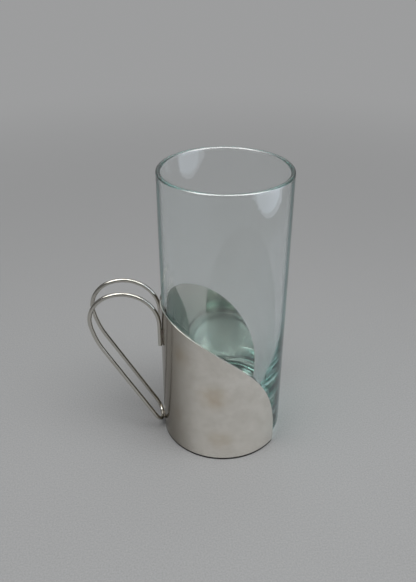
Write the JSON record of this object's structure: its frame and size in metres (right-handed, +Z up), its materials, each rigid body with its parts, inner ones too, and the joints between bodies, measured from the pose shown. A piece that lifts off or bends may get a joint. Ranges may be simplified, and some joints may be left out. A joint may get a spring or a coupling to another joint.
{
  "type": "tea glass in a handled metal sleeve",
  "caption": "Tall straight glass tumbler gripped by an open steel sheet sleeve with a bent wire handle; the glass lifts out upward.",
  "frame": {"origin": "on the axis of the glass and the sleeve, at the level of the table they stand on", "axes": "+Z up along the axis of the glass; the handle points to -X, and the open side of the sleeve faces +X; the nearer wire leg is on -Y"},
  "size_m": [0.0948, 0.0614, 0.141],
  "materials": {
    "clear_glass": "clear with a faint green edge, fire-polished",
    "satin_steel": "satin rolled sheet",
    "wire_steel": "drawn wire, semi-bright",
    "weld_metal": "dull"
  },
  "bodies": {
    "holder": {"sleeve": "satin_steel", "handle_wire": "wire_steel", "upper_weld_front": "weld_metal", "upper_weld_rear": "weld_metal", "lower_weld": "weld_metal"},
    "glass": {"tea_glass": "clear_glass"}
  },
  "joints": [
    {"name": "glass_lift", "type": "slide", "parent": "holder", "child": "glass", "axis": [0, 0, 1], "range_m": [0, 0.08]}
  ]
}
